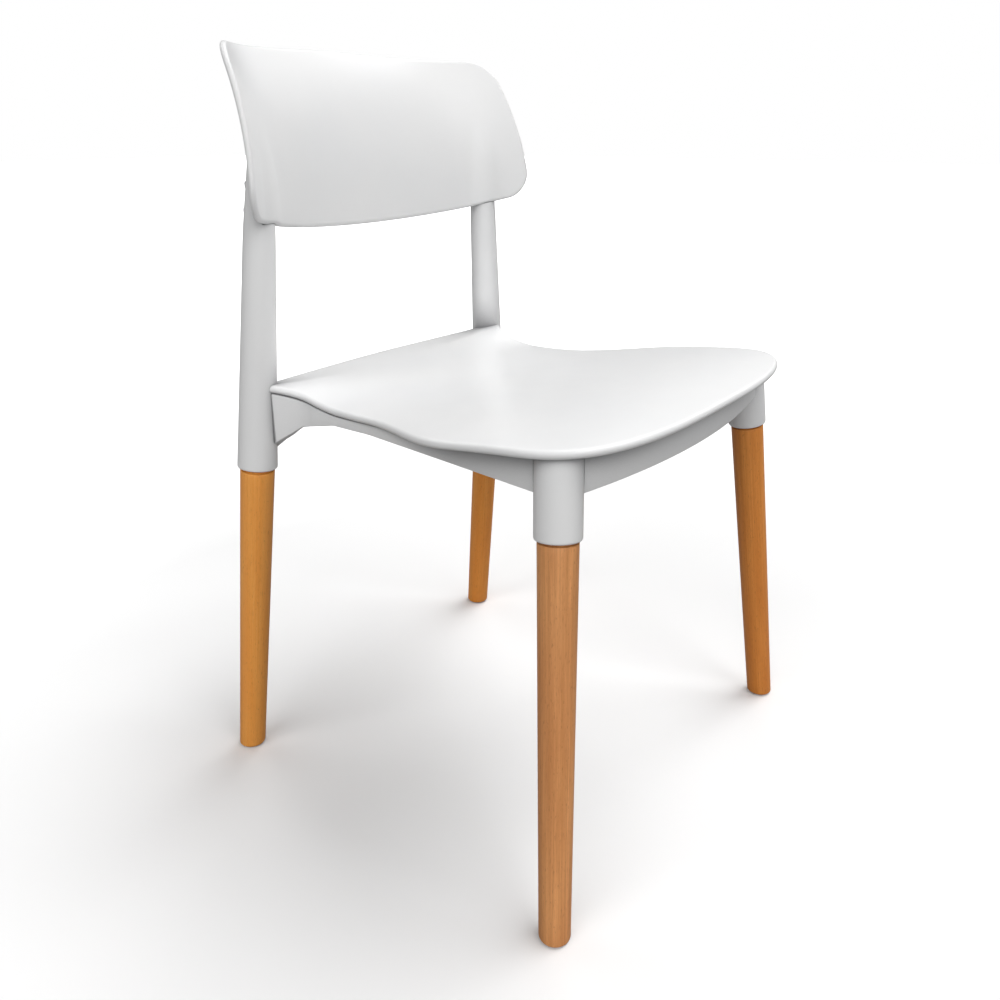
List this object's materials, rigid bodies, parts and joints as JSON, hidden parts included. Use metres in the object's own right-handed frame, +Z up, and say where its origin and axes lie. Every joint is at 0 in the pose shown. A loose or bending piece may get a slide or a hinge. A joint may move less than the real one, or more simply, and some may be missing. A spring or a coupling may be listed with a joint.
{
  "type": "dining chair",
  "caption": "Dining chair with a moulded seat, a curved backrest carried on two uprights, and splayed round wooden legs held in moulded sockets.",
  "frame": {"origin": "on the floor, under the middle of the chair's bounding box", "axes": "+X to the right as seen from the chair's front, +Y towards the back (the chair faces -Y), +Z up"},
  "size_m": [0.5196, 0.5016, 0.7634],
  "materials": {
    "white_plastic": "semi-gloss, very fine grain",
    "beech": "clear satin lacquer, grain along the leg",
    "steel": "zinc plated",
    "nylon": "natural nylon"
  },
  "bodies": {
    "root": {"seat_shell": "white_plastic", "front_rail": "white_plastic", "rear_rail": "white_plastic", "side_rail_left": "white_plastic", "side_rail_right": "white_plastic", "front_socket_left": "white_plastic", "front_socket_right": "white_plastic", "upright_left": "white_plastic", "upright_right": "white_plastic", "backrest_panel": "white_plastic", "leg_front_left": "beech", "leg_front_right": "beech", "leg_rear_left": "beech", "leg_rear_right": "beech", "leg_bolts": "steel", "socket_inserts": "steel", "rail_screws": "steel", "seat_screws": "steel", "back_screws": "steel", "back_screw_caps": "white_plastic", "foot_glides": "nylon"}
  },
  "joints": []
}
